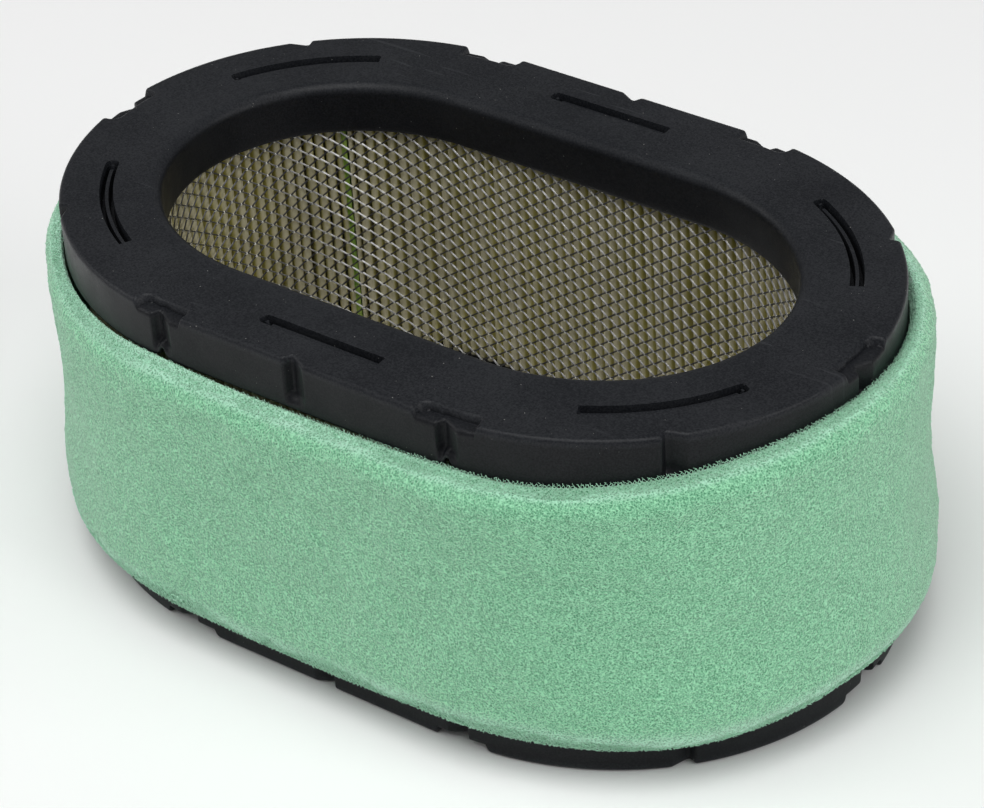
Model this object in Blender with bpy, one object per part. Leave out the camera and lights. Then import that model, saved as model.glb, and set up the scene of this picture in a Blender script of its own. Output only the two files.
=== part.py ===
"""Oval air filter element of a small engine, with its foam pre-cleaner.

Two cast end caps hold a pleated paper pack and a wire screen inside it, and a foam sleeve goes around
the outside. Metres, +Z up. The origin is the centre of the lower seal face, and X runs along the oval's
long axis.
"""

import math

import bmesh
import bpy
from mathutils import Matrix, Vector

# Driving dimensions. The rim is two straight runs joined by two half ellipses, and every other oval of the
# element lies at a constant inset from the rim (negative insets lie outside it).
RIM_HALF_WIDTH = 0.0613
STRAIGHT_HALF = 0.0317
END_REACH = 0.0658
HEIGHT = 0.0846
ARC_STEPS = 32

CAP_THICKNESS = 0.0122
OPENING_INSET = 0.0223
RIM_ROUND = 0.0011
LIP_ROUND = 0.0026
POTTING_DEPTH = 0.0050
FIT_GAP = 0.0003

SCREEN_INSET = 0.0202
SCREEN_THICKNESS = 0.0006
PLEAT_OUTER_INSET = 0.0036
PLEAT_INNER_INSET = 0.0198
PLEAT_COUNT = 165
PAPER_THICKNESS = 0.0005
WALK_SAMPLES = 400
SEAM_PLACE = 0.5775
SEAM_THICKNESS = 0.0010
SEAM_REACH = 0.0060

FOAM_CLEARANCE = 0.0004
FOAM_LOW = 0.0082
FOAM_HIP = 0.0232
FOAM_WAIST = 0.0429
FOAM_SHOULDER = 0.0667
FOAM_HIGH = 0.0775
FOAM_TOP_OUTSET = 0.0059
FOAM_WAIST_OUTSET = 0.0052
FOAM_FOOT_OUTSET = 0.0066
FOAM_TOP_ROUND = 0.0036
FOAM_FOOT_ROUND = 0.0075
WELD_DISTANCE = 0.000001
SHARP_FROM = math.radians(30)

SLOT_WIDTH = 0.0030
SLOT_DEPTH = 0.0040
RIB_WIDTH = 0.0008
RIB_BELOW_FACE = 0.0004
RIB_FROM_POST_END = 0.0026
RIB_FROM_PLAIN_END = 0.0008
STRAIGHT_SLOT_HALF = 0.0153
STRAIGHT_SLOT_INSET = 0.0096
CORNER_SLOT_INSET = 0.0104
CORNER_SLOT_FROM = 24.5
CORNER_SLOT_TO = 61.8
CORNER_SLOT_STEPS = 8
CUTTER_OVERLAP = 0.0001

RECESS_REACH = 0.0036
RECESS_LEAN = 0.0010
RECESS_CORNER = 0.0014
RECESS_DEPTH = 0.0017
GROOVE_RADIUS = 0.0024
GROOVE_DEPTH = 0.0018
GROOVE_FLOOR = 0.0022
SCOOP_RADIUS = 0.0020
GROOVE_SEGMENTS = 12

# Where the rim recesses and side grooves sit, as x and y on the rim of one half. The other half is the first
# one turned half a turn about Z. A recess has its square end first and its blunted end second.
RECESS_SPANS = (
    (Vector((0.0446, -0.0601)), Vector((0.0296, -0.0613))),
    (Vector((-0.0291, -0.0613)), Vector((-0.0440, -0.0601))),
    (Vector((0.0971, -0.0072)), Vector((0.0972, 0.0064))),
)
RECESS_GROOVES = (
    Vector((0.0380, -0.0610)),
    Vector((-0.0355, -0.0612)),
    Vector((0.0975, -0.0007)),
)
PLAIN_GROOVES = (Vector((0.0, -0.0613)), Vector((0.0785, -0.0413)), Vector((0.0785, 0.0413)))

parts = bpy.data.collections.new("oval_air_filter_element")
cutters = bpy.data.collections.new("cutters")


def clear_scene():
    for found in list(bpy.data.objects):
        bpy.data.objects.remove(found, do_unlink=True)


def material(name, colour, roughness, metallic=0.0):
    """A Principled BSDF material of one colour."""
    made = bpy.data.materials.new(name)
    made.use_nodes = True
    shader = made.node_tree.nodes["Principled BSDF"]
    shader.inputs["Base Color"].default_value = (*colour, 1.0)
    shader.inputs["Roughness"].default_value = roughness
    shader.inputs["Metallic"].default_value = metallic
    made.diffuse_color = (*colour, 1.0)
    return made


def end_point(angle, inset):
    """The point of the right-hand half ellipse at this angle, moved inwards along its own normal."""
    place = Vector((STRAIGHT_HALF + END_REACH * math.cos(angle), RIM_HALF_WIDTH * math.sin(angle)))
    outward = Vector((RIM_HALF_WIDTH * math.cos(angle), END_REACH * math.sin(angle))).normalized()
    return place - inset * outward


def oval(inset, steps=ARC_STEPS):
    """The whole oval at this inset, counterclockwise from the right-hand end of the front straight."""
    angles = [math.pi * (step / steps - 0.5) for step in range(steps + 1)]
    right = [end_point(angle, inset) for angle in angles]
    return right + [-point for point in right]


def outward_at(point):
    """The outward normal of the oval on which the point lies, at that point."""
    beyond = max(abs(point.x) - STRAIGHT_HALF, 0.0)
    across = point.y / RIM_HALF_WIDTH**2
    along = math.copysign(beyond / END_REACH**2, point.x)
    return Vector((along, across)).normalized()


def curve_object(name, outlines, half_height, height_middle):
    """Closed flat outlines, filled and extruded to both sides. An outline inside another is a hole."""
    flat = bpy.data.curves.new(name, "CURVE")
    flat.dimensions = "2D"
    flat.fill_mode = "BOTH"
    flat.extrude = half_height
    for outline in outlines:
        spline = flat.splines.new("POLY")
        spline.points.add(len(outline) - 1)
        for point, place in zip(spline.points, outline):
            point.co = (place.x, place.y, 0.0, 1.0)
        spline.use_cyclic_u = True
    made = bpy.data.objects.new(name, flat)
    made.location.z = height_middle
    return made


def swept_object(name, profile, path):
    """A closed profile of (inset, z) points carried once around the closed path."""
    section = bpy.data.curves.new(name + "_section", "CURVE")
    section.dimensions = "2D"
    section.fill_mode = "NONE"
    outline = section.splines.new("POLY")
    outline.points.add(len(profile) - 1)
    for point, (inset, z) in zip(outline.points, profile):
        point.co = (-inset, z, 0.0, 1.0)
    outline.use_cyclic_u = True
    section_object = bpy.data.objects.new(name + "_section", section)
    section_object.hide_render = True
    cutters.objects.link(section_object)
    way = bpy.data.curves.new(name, "CURVE")
    way.dimensions = "3D"
    way.twist_mode = "Z_UP"
    way.bevel_mode = "OBJECT"
    way.bevel_object = section_object
    spline = way.splines.new("POLY")
    spline.points.add(len(path) - 1)
    for point, place in zip(spline.points, path):
        point.co = (place.x, place.y, 0.0, 1.0)
    spline.use_cyclic_u = True
    return bpy.data.objects.new(name, way)


def as_mesh(curve, collection):
    """The curve object made a mesh object of the same name in the collection, with its caps welded."""
    collection.objects.link(curve)
    bpy.context.view_layer.update()
    graph = bpy.context.evaluated_depsgraph_get()
    mesh = bpy.data.meshes.new_from_object(curve.evaluated_get(graph))
    shape = bmesh.new()
    shape.from_mesh(mesh)
    bmesh.ops.remove_doubles(shape, verts=shape.verts, dist=WELD_DISTANCE)
    bmesh.ops.recalc_face_normals(shape, faces=shape.faces)
    shape.to_mesh(mesh)
    shape.free()
    name = curve.name
    place = curve.matrix_world.copy()
    bpy.data.objects.remove(curve, do_unlink=True)
    made = bpy.data.objects.new(name, mesh)
    made.matrix_world = place
    collection.objects.link(made)
    return made


def arc(centre, radius, first, last, steps):
    """Points of a circular arc in a section, by angles in degrees."""
    angles = [math.radians(first + (last - first) * step / steps) for step in range(steps + 1)]
    across, up = centre
    return [(across + radius * math.cos(angle), up + radius * math.sin(angle)) for angle in angles]


def cap_section():
    """The upper cap's section, as (inset, z): rim wall, seal face, lip, opening wall and potting channel."""
    foot = HEIGHT - CAP_THICKNESS
    channel_top = foot + POTTING_DEPTH
    channel_from = PLEAT_OUTER_INSET - FIT_GAP
    channel_to = SCREEN_INSET + SCREEN_THICKNESS + FIT_GAP
    points = [(RIM_ROUND, foot), (0.0, foot + RIM_ROUND)]
    points += arc((RIM_ROUND, HEIGHT - RIM_ROUND), RIM_ROUND, 180, 90, 2)
    points += arc((OPENING_INSET - LIP_ROUND, HEIGHT - LIP_ROUND), LIP_ROUND, 90, 0, 4)
    points += [(OPENING_INSET, foot), (channel_to, foot), (channel_to, channel_top)]
    points += [(channel_from, channel_top), (channel_from, foot)]
    return points


def straight_outline(left, right, width):
    """A straight slot or rib of the front side, between two x positions on the slots' line."""
    middle = RIM_HALF_WIDTH - STRAIGHT_SLOT_INSET
    low = middle - width / 2
    high = middle + width / 2
    return [Vector((left, -high)), Vector((right, -high)), Vector((right, -low)), Vector((left, -low))]


def curved_outline(off_low_end, off_high_end, width):
    """A curved slot or rib of the back right corner, shortened at the ends of low and of high angle."""
    radius = (END_REACH + RIM_HALF_WIDTH) / 2 - CORNER_SLOT_INSET
    first = math.radians(CORNER_SLOT_FROM) + off_low_end / radius
    last = math.radians(CORNER_SLOT_TO) - off_high_end / radius
    shares = [step / CORNER_SLOT_STEPS for step in range(CORNER_SLOT_STEPS + 1)]
    angles = [first + (last - first) * share for share in shares]
    outer = [end_point(angle, CORNER_SLOT_INSET - width / 2) for angle in angles]
    inner = [end_point(angle, CORNER_SLOT_INSET + width / 2) for angle in angles]
    return outer + inner[::-1]


def slot_outlines():
    """The outline and the rib's outline of each of the six slots in the seal face, two of them straight.

    A rib stops short of one end of its slot. On the straight slots that is the left-hand end, on the slot of
    the back right corner its end of high angle, and on the other curved slots their end of low angle.
    """
    half = STRAIGHT_SLOT_HALF
    straight = (
        straight_outline(-half, half, SLOT_WIDTH),
        straight_outline(-half + RIB_FROM_POST_END, half - RIB_FROM_PLAIN_END, RIB_WIDTH),
    )
    curved = curved_outline(0.0, 0.0, SLOT_WIDTH)
    high_rib = curved_outline(RIB_FROM_PLAIN_END, RIB_FROM_POST_END, RIB_WIDTH)
    low_rib = curved_outline(RIB_FROM_POST_END, RIB_FROM_PLAIN_END, RIB_WIDTH)
    places = (
        (straight, 1, 1),
        (straight, 1, -1),
        ((curved, high_rib), 1, 1),
        ((curved, low_rib), -1, 1),
        ((curved, low_rib), -1, -1),
        ((curved, low_rib), 1, -1),
    )
    return [
        [[Vector((sign_x * point.x, sign_y * point.y)) for point in outline] for outline in pair]
        for pair, sign_x, sign_y in places
    ]


def widened(outline):
    """The outline moved out by the cutters' overlap, away from its middle."""
    middle = sum(outline, Vector((0.0, 0.0))) / len(outline)
    return [point + CUTTER_OVERLAP * (point - middle).normalized() for point in outline]


def recess_outline(square_end, blunt_end):
    """A recess in the rim's top edge. Both ends lean in towards its back, where one corner is blunted."""
    outward = outward_at((square_end + blunt_end) / 2)
    along = (square_end - blunt_end).normalized()
    blunt_side = blunt_end + RECESS_LEAN * along
    return [
        square_end + RECESS_REACH * outward,
        square_end,
        square_end - RECESS_LEAN * along - RECESS_REACH * outward,
        blunt_side + RECESS_CORNER * along - RECESS_REACH * outward,
        blunt_side - (RECESS_REACH - RECESS_CORNER) * outward,
        blunt_end,
        blunt_end + RECESS_REACH * outward,
    ]


def cut(target, cutter):
    """Subtracts the cutter, which stays in the cutters' collection."""
    cutter.hide_render = True
    cutter.display_type = "WIRE"
    step = target.modifiers.new("cut_" + cutter.name, "BOOLEAN")
    step.operation = "DIFFERENCE"
    step.object = cutter


def groove_cutter(name, place, from_z):
    """An upright cylinder that leaves a round groove in the rim wall, open at the top."""
    outward = outward_at(place)
    centre = place + (GROOVE_RADIUS - GROOVE_DEPTH) * outward
    length = HEIGHT + CAP_THICKNESS - from_z
    shape = bmesh.new()
    bmesh.ops.create_cone(
        shape,
        cap_ends=True,
        segments=GROOVE_SEGMENTS,
        radius1=GROOVE_RADIUS,
        radius2=GROOVE_RADIUS,
        depth=length,
        matrix=Matrix.Translation((centre.x, centre.y, from_z + length / 2)),
    )
    mesh = bpy.data.meshes.new(name)
    shape.to_mesh(mesh)
    shape.free()
    made = bpy.data.objects.new(name, mesh)
    cutters.objects.link(made)
    return made


def scoop_cutter(name, place):
    """A cylinder that lies across the rim wall and scoops up its lower edge under a groove."""
    lying = outward_at(place).to_3d().to_track_quat("Z", "Y").to_matrix().to_4x4()
    shape = bmesh.new()
    bmesh.ops.create_cone(
        shape,
        cap_ends=True,
        segments=GROOVE_SEGMENTS,
        radius1=SCOOP_RADIUS,
        radius2=SCOOP_RADIUS,
        depth=2 * PLEAT_OUTER_INSET,
        matrix=Matrix.Translation((place.x, place.y, HEIGHT - CAP_THICKNESS)) @ lying,
    )
    mesh = bpy.data.meshes.new(name)
    shape.to_mesh(mesh)
    shape.free()
    made = bpy.data.objects.new(name, mesh)
    cutters.objects.link(made)
    return made


def make_caps(finish):
    """Both caps are the same casting: the lower one is the upper one turned over."""
    blank = as_mesh(swept_object("cap_blank", cap_section(), oval(0.0)), cutters)
    for index, (outline, rib) in enumerate(slot_outlines()):
        channels = curve_object(f"slot_{index}", [outline, rib], SLOT_DEPTH, HEIGHT)
        cut(blank, as_mesh(channels, cutters))
        rib_top = curve_object(f"rib_top_{index}", [widened(rib)], RIB_BELOW_FACE, HEIGHT)
        cut(blank, as_mesh(rib_top, cutters))
    for index, (square_end, blunt_end) in enumerate(RECESS_SPANS):
        for turn in (1, -1):
            outline = recess_outline(turn * square_end, turn * blunt_end)
            recess = curve_object(f"recess_{index}_{turn}", [outline], RECESS_DEPTH, HEIGHT)
            cut(blank, as_mesh(recess, cutters))
    for index, place in enumerate(RECESS_GROOVES + PLAIN_GROOVES):
        for turn in (1, -1):
            foot = HEIGHT - CAP_THICKNESS + GROOVE_FLOOR
            cut(blank, groove_cutter(f"groove_{index}_{turn}", turn * place, foot))
    for index, place in enumerate(RECESS_GROOVES):
        for turn in (1, -1):
            cut(blank, scoop_cutter(f"scoop_{index}_{turn}", turn * place))
    bpy.context.view_layer.update()
    graph = bpy.context.evaluated_depsgraph_get()
    mesh = bpy.data.meshes.new_from_object(blank.evaluated_get(graph))
    bpy.data.objects.remove(blank, do_unlink=True)
    mesh.materials.clear()
    mesh.materials.append(finish)
    mesh.shade_smooth()
    mesh.set_sharp_from_angle(angle=SHARP_FROM)
    upper = bpy.data.objects.new("upper_end_cap", mesh)
    lower = bpy.data.objects.new("lower_end_cap", mesh)
    lower.matrix_world = Matrix.Translation((0, 0, HEIGHT)) @ Matrix.Rotation(math.pi, 4, "X")
    for cap in (upper, lower):
        parts.objects.link(cap)


def walk_table(inset):
    """Running length along the oval at this inset, with the rim's inset-0 point and outward normal there."""
    table = []
    length = 0.0
    rim = oval(0.0, WALK_SAMPLES)
    inner = oval(inset, WALK_SAMPLES)
    rim.append(rim[0])
    inner.append(inner[0])
    before = inner[0]
    for edge, place in zip(rim, inner):
        length += (place - before).length
        table.append((length, edge, (edge - place).normalized()))
        before = place
    return table


def place_on(table, distance, inset):
    """The point at this running length and this inset."""
    total = table[-1][0]
    wanted = distance % total
    for (start, edge_a, normal_a), (end, edge_b, normal_b) in zip(table, table[1:]):
        if start <= wanted <= end and end > start:
            share = (wanted - start) / (end - start)
            edge = edge_a.lerp(edge_b, share)
            return edge - inset * normal_a.lerp(normal_b, share).normalized()
    return table[0][1] - inset * table[0][2]


def pleat_outline(table):
    """The pleated strip's outline: out along its outer side, and back along its inner side."""
    total = table[-1][0]
    start = SEAM_PLACE * total
    seam_half = SEAM_THICKNESS / 2 + FIT_GAP
    first = seam_half + PAPER_THICKNESS
    pitch = (total - 2 * first) / PLEAT_COUNT
    throat = 2 * PAPER_THICKNESS
    outer_side = [(seam_half, PLEAT_INNER_INSET)]
    inner_side = [(first, PLEAT_INNER_INSET)]
    for fold in range(PLEAT_COUNT):
        crest = first + (fold + 0.5) * pitch
        outer_side.append((crest - PAPER_THICKNESS, PLEAT_OUTER_INSET))
        outer_side.append((crest + PAPER_THICKNESS, PLEAT_OUTER_INSET))
        inner_side.append((crest, PLEAT_OUTER_INSET + throat))
        if fold < PLEAT_COUNT - 1:
            valley = crest + pitch / 2
            outer_side.append((valley, PLEAT_INNER_INSET - throat))
            inner_side.append((valley - PAPER_THICKNESS, PLEAT_INNER_INSET))
            inner_side.append((valley + PAPER_THICKNESS, PLEAT_INNER_INSET))
    outer_side.append((total - seam_half, PLEAT_INNER_INSET))
    inner_side.append((total - first, PLEAT_INNER_INSET))
    both = outer_side + inner_side[::-1]
    return [place_on(table, start + distance, inset) for distance, inset in both]


def seam_outline(table):
    start = SEAM_PLACE * table[-1][0]
    half = SEAM_THICKNESS / 2
    near = place_on(table, start, PLEAT_INNER_INSET)
    far = place_on(table, start, PLEAT_INNER_INSET - SEAM_REACH)
    outward = (far - near).normalized()
    side = Vector((-outward.y, outward.x)) * half
    return [near - side, near + side, far + side, far - side]


def foam_section():
    """The sleeve's section, as (inset, z): straight inside, full at both ends and slacker between them."""
    top_centre = (FOAM_TOP_ROUND - FOAM_TOP_OUTSET, FOAM_HIGH - FOAM_TOP_ROUND)
    waist = [
        (-(FOAM_TOP_OUTSET + FOAM_WAIST_OUTSET) / 2, FOAM_SHOULDER),
        (-FOAM_WAIST_OUTSET, FOAM_WAIST),
        (-(FOAM_FOOT_OUTSET + FOAM_WAIST_OUTSET) / 2, FOAM_HIP),
    ]
    foot_width = FOAM_FOOT_OUTSET - FOAM_CLEARANCE
    foot = [
        (-FOAM_CLEARANCE - out * foot_width, FOAM_LOW + (1 - down) * FOAM_FOOT_ROUND)
        for out, down in arc((0.0, 0.0), 1.0, 0, 90, 4)
    ]
    return [(-FOAM_CLEARANCE, FOAM_HIGH)] + arc(top_centre, FOAM_TOP_ROUND, 90, 180, 3) + waist + foot


def finished(made, finish):
    """Gives a part its material and its shading."""
    made.data.materials.clear()
    made.data.materials.append(finish)
    made.data.shade_smooth()
    made.data.set_sharp_from_angle(angle=SHARP_FROM)


def main():
    clear_scene()
    bpy.context.scene.collection.children.link(parts)
    bpy.context.scene.collection.children.link(cutters)
    make_caps(material("cast_polyurethane", (0.032, 0.034, 0.037), 0.55))

    pack_low = CAP_THICKNESS - POTTING_DEPTH + FIT_GAP
    pack_half = HEIGHT / 2 - pack_low
    table = walk_table(PLEAT_INNER_INSET)
    paper = curve_object("pleated_paper", [pleat_outline(table)], pack_half, HEIGHT / 2)
    finished(as_mesh(paper, parts), material("filter_paper", (0.42, 0.40, 0.30), 0.9))
    seam = curve_object("pleat_seam", [seam_outline(table)], pack_half, HEIGHT / 2)
    finished(as_mesh(seam, parts), material("seam_glue", (0.24, 0.20, 0.07), 0.6))
    rings = [oval(SCREEN_INSET), oval(SCREEN_INSET + SCREEN_THICKNESS)]
    screen = curve_object("inner_screen", rings, pack_half, HEIGHT / 2)
    finished(as_mesh(screen, parts), material("zinc_screen", (0.6, 0.6, 0.6), 0.35, 1.0))
    foam = as_mesh(swept_object("foam_precleaner", foam_section(), oval(0.0)), parts)
    finished(foam, material("green_foam", (0.25, 0.52, 0.36), 0.95))
    for cutter in cutters.objects:
        cutter.hide_render = True
        cutter.display_type = "WIRE"
    cutters.hide_render = True


main()
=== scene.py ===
"""Looks of the oval air filter element: moulded caps, pleated paper, wire screen and foam sleeve.

Metres, +Z up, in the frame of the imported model. Most pieces are sweeps around the rim: a place on them is a
running length along the rim, an inset (positive inwards, negative outwards) and a height.
"""

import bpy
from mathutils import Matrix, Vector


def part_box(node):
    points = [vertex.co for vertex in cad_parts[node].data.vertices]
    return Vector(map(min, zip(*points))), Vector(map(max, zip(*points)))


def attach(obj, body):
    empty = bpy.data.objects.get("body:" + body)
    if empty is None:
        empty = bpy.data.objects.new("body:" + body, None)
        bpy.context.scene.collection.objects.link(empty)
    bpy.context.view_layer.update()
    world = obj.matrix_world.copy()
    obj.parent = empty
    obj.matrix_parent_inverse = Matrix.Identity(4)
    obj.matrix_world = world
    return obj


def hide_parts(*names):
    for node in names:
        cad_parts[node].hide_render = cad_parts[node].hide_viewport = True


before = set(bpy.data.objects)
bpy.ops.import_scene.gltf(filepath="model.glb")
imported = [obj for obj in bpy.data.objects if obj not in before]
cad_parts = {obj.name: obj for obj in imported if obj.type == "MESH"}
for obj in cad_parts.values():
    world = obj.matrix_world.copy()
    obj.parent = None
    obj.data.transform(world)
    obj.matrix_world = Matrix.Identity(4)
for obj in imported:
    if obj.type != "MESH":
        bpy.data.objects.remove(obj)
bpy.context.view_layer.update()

from math import atan2, copysign, cos, pi, radians, sin

import bpy
import numpy as np
from mathutils import Matrix, Vector

MM = 0.001
HAIR = 1e-6

# The rim: two straight runs joined by two half ellipses. The sizes are those of the CAD model.
RIM_HALF_WIDTH = 0.0613
STRAIGHT_HALF = 0.0317
END_REACH = 0.0658
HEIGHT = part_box("upper_end_cap")[1].z
END_SAMPLES = 720
STRAIGHT_SAMPLES = 300
AROUND_SAMPLES = 720
AROUND_WINDOW = 13

CAP_THICKNESS = 0.0122
CAP_FOOT = HEIGHT - CAP_THICKNESS
OPENING_INSET = 0.0223
RIM_ROUND = 0.0011
LIP_ROUND = 0.0026
FOOT_ROUND = 0.0007
POTTING_DEPTH = 0.005
CHANNEL_FROM = 0.0033
CHANNEL_TO = 0.0211
PACK_LOW = 0.0075
PACK_HIGH = HEIGHT - PACK_LOW

# Slots in the seal face: a deep channel on each side of a low rib, and a small ejector post at one end. Their
# centre line has one inset on the straights and another around the ends, and moves over in SLOT_SHIFT.
SLOT_HALF_WIDTH = 0.0015
SLOT_DEPTH = 0.004
SLOT_WALL = 0.00022
SLOT_END_WALL = 0.0006
POST_END_ROUND = 0.0013
SLOT_SHIFT = (0.0165, 0.03)
RIB_HALF_WIDTH = 0.0005
RIB_WALL = 0.00012
RIB_BELOW_FACE = 0.001
RIB_FROM_POST_END = 0.0021
RIB_END_WALL = 0.0003
POST_FROM_END = 0.0013
POST_RADIUS = 0.00062
POST_WALL = 0.00015
POST_BELOW_FACE = 0.0005
STRAIGHT_SLOT_HALF = 0.0153
STRAIGHT_SLOT_INSET = 0.0096
CORNER_SLOT_INSET = 0.0104
CORNER_SLOT_ANGLES = (24.5, 61.8)

# Recesses in the rim's edge, by the two ends of their floors, the square end first and then the rounded one.
# Then the grooves down the rim's wall, in a recess or plain, and the notches under those in a recess.
RECESS_REACH = 0.0033
RECESS_ROUND = 0.002
RECESS_SQUARE_ROUND = 0.0005
RECESS_DEPTH = 0.0017
RECESS_WALL = 0.0012
RECESS_END_WALL = 0.0007
RECESS_EDGE = 0.0008
RECESS_FADE = (0.0062, 0.0018)
RECESS_SPANS = (
    ((0.0446, -0.0601), (0.0306, -0.0613)),
    ((-0.03, -0.0613), (-0.042, -0.0604)),
    ((0.0971, -0.0068), (0.097, 0.007)),
)
GROOVE_DEPTH = 0.0018
GROOVE_LEFT = 0.0027
GROOVE_LEFT_WALL = 0.0012
GROOVE_RIGHT = 0.0027
GROOVE_RIGHT_EASE = 0.0008
GROOVE_FLOOR = 0.0022
GROOVE_LEDGE = (0.0008, 0.0016)
GROOVE_FADE = 0.0026
RECESS_GROOVES = ((0.038, -0.061), (-0.0355, -0.0612), (0.0975, -0.0007))
PLAIN_GROOVES = ((0.0, -0.0613), (0.0785, -0.0413), (0.0785, 0.0413))
NOTCH_RISE = 0.0024
NOTCH_SPAN = (-0.0006, 0.0004)
NOTCH_LOBES = (0.003, 0.0025)
NOTCH_FADE = 0.006

# The caps' grid: its rows on the seal face, by inset, and its columns, which stand close together at details.
# A zone there is how far it goes past the detail, or its offset and reach, and then its step.
WALL_ROWS = 15
EDGE_ROWS = (
    0.0015, 0.0021, 0.0028, 0.00325, 0.00332, 0.0034, 0.0035, 0.0037, 0.004, 0.0043, 0.0047, 0.0054, 0.007
)
SLOT_ROWS = (
    0.0019, 0.0016, 0.0015, 0.00144, 0.00139, 0.00134, 0.00128, 0.00112, 0.00088, 0.00063, 0.0005, 0.00037
)
FACE_ROWS = (0.013, 0.0146, 0.0164, 0.0182)
COLUMN_STEP = 0.0018
COLUMN_GAP = 0.00012
ZONE_MARGIN = 0.0003
RECESS_ZONE = (0.0014, 0.00026)
GROOVE_ZONE = (0.0034, 0.0003)
POST_END_ZONE = (0.0014, 0.002, 0.00026)
FAR_END_ZONE = (0.0003, 0.001, 0.00022)

PLEAT_COUNT = 165
PLEAT_OUTER = 0.0036
PLEAT_INNER = 0.0198
PLEAT_WANDER = 0.04
PLEAT_REACH = 0.0004
PAPER_THICKNESS = 0.00042
PAPER_LEVELS = 8
PAPER_SWAY = 0.00009
SWAY_RUN = 6
FOLD_RADIUS = 0.00074
FOLD_TURNS = np.radians(np.linspace(-80, 80, 5))
SEAM_PLACE = 0.5775
SEAM_GAP = 0.0009
SEAM_LEVELS = 40
SEAM_WAVE = 0.00012
SEAM_ROUGHNESS = 0.00005
SEAM_SECTION = ((-0.0008, 0.0142), (0.0008, 0.0142), (0.0008, 0.0197), (0.0, 0.0199), (-0.0008, 0.0197))

# The screen's strands go up to the one side (1) and to the other (-1) from each bond.
SCREEN_INSET = 0.0205
SCREEN_CELLS = 81
SCREEN_RISE = 0.00335 / 2
STRAND_RUN = 0.38
STRAND_WIDTH = 0.0004
STRAND_THICKNESS = 0.0003
STRAND_BOW = 0.00016
STRAND_END_WIDTH = 1.15
# Painted light on the strands: their undersides keep a quarter of it as painted shade, and one family of
# strands is painted brighter than the other as the light falls on them.
STRAND_UNDERSIDE_SHADE = 0.25
STRAND_LEANS = {1: -46.0, -1: -24.0}
STRAND_PAINTED_LIGHT = {1: 0.56, -1: 0.22}
STRAND_SHAPE = ((0.0, 0.0), (0.12, 0.1), (0.5, 0.5), (0.88, 0.9), (1.0, 1.0))
BOND_INSET = 0.00012
BOND_SIZE = (0.00052, 0.00027, 0.00034)
OCTAHEDRON = ((0, 2, 4), (2, 1, 4), (1, 3, 4), (3, 0, 4), (2, 0, 5), (1, 2, 5), (3, 1, 5), (0, 3, 5))

# The sleeve around the rim, as pairs of share of the way round and millimetres: heights of its inner edge,
# crest and foot, then how far its shoulder, waist and hem stand out, and how high its torn edges rise. The
# way starts where the front straight meets the right-hand end, and runs counterclockwise.
FOAM_LIP = (
    (0.0, 73.0), (0.012, 73.6), (0.03, 72.7), (0.06, 73.3), (0.08, 74.4), (0.1, 75.2), (0.12, 76.4),
    (0.14, 77.3), (0.165, 77.8), (0.19, 77.4), (0.22, 76.2), (0.25, 75.0), (0.3, 74.5), (0.38, 74.5),
    (0.5, 74.5), (0.6, 74.5), (0.69, 74.5), (0.74, 73.5), (0.8, 71.8), (0.84, 72.3), (0.872, 73.4),
    (0.885, 72.6), (0.9, 72.2), (0.92, 72.0), (0.96, 72.2), (0.98, 72.6),
)
FOAM_TOP = (
    (0.0, 71.8), (0.06, 72.6), (0.12, 75.6), (0.165, 77.5), (0.22, 77.6), (0.27, 77.4), (0.31, 75.6),
    (0.38, 75.0), (0.5, 75.0), (0.6, 75.0), (0.69, 75.8), (0.75, 75.0), (0.81, 71.5), (0.88, 70.8),
    (0.94, 70.6),
)
FOAM_FOOT = (
    (0.0, 9.7), (0.04, 9.9), (0.08, 9.2), (0.105, 9.0), (0.13, 10.1), (0.165, 11.9), (0.2, 11.7),
    (0.26, 10.3), (0.38, 8.7), (0.5, 8.3), (0.69, 7.3), (0.8, 7.9), (0.855, 9.1), (0.91, 8.4), (0.955, 8.4),
)
SHOULDER_OUTSET = ((0.0, 5.8), (0.19, 5.9), (0.38, 5.6), (0.5, 5.4), (0.69, 4.3), (0.82, 5.0), (0.94, 5.7))
WAIST_OUTSET = (
    (0.0, 5.2), (0.19, 5.4), (0.38, 5.0), (0.5, 5.0), (0.69, 3.2), (0.75, 3.2), (0.82, 4.8), (0.94, 5.1)
)
FOOT_OUTSET = ((0.0, 6.6), (0.19, 7.2), (0.38, 6.4), (0.5, 6.2), (0.69, 7.6), (0.82, 6.4), (0.94, 6.4))
TOP_FRINGE_RISE = (
    (0.0, 1.0), (0.1, 1.5), (0.2, 1.2), (0.26, 0.5), (0.5, 0.4), (0.7, 0.4), (0.8, 0.3), (0.88, 0.3),
    (0.94, 0.6),
)
FOOT_FRINGE_RISE = ((0.0, 1.6), (0.5, 1.6))

# The sleeve's section and its grid, how rough it is, and where it looks freshly cut, which is also where it
# is painted lighter as painted light shining through the thin foam.
SHOULDER_WIDTH = 0.004
SHOULDER_HEIGHT = 0.0044
HEM_HEIGHT = 0.0068
CLEARANCE = 0.0004
HEM_START = CLEARANCE + 0.0006
WAIST_SHARE = 0.35
HIP_SHARE = 0.5
FOAM_COLUMNS = 850
INNER_ROWS = 9
LIP_ROWS = 6
SHOULDER_ROWS = 13
OUTER_ROWS = 76
HEM_ROWS = 16
OUTER_ROW = 40
GRAIN_LIFT = 0.00006
LUMP_LIFT = 0.00006
WAVE_LIFT = 0.0002
CUT_GLOW_BELOW_TOP = (0.0004, 0.0028)
CUT_GLOW_OUTSET = (0.0025, 0.0045)
CUT_GLOW_ABOVE_FOOT = (0.0034, 0.008)
CUT_GLOW_AT_FOOT = 0.8

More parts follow.
